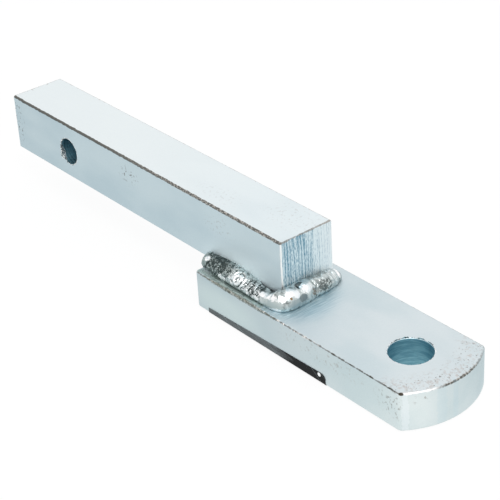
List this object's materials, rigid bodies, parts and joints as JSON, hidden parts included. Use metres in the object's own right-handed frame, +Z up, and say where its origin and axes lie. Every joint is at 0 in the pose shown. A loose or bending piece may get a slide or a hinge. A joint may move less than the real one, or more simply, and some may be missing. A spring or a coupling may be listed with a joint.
{
  "type": "drawbar",
  "caption": "Solid square shank lap welded on a flat round-nosed tongue with a tow ball hole, for sliding into a hitch receiver and pinning.",
  "frame": {"origin": "centre of the hitch-pin hole, on the shank's centre line", "axes": "+X along the shank towards the ball end, +Y along the pin hole, +Z up, away from the tongue"},
  "size_m": [0.3087, 0.0503, 0.0492],
  "materials": {
    "shank_steel": "bright zinc plated rolled square bar",
    "tongue_steel": "bright zinc plated rolled flat bar",
    "weld_steel": "zinc plated weld metal with small puddle ripples",
    "label_film": "plain black vinyl film"
  },
  "bodies": {
    "root": {"shank": "shank_steel", "tongue": "tongue_steel", "weld_bead": "weld_steel", "blank_label": "label_film"}
  },
  "joints": []
}
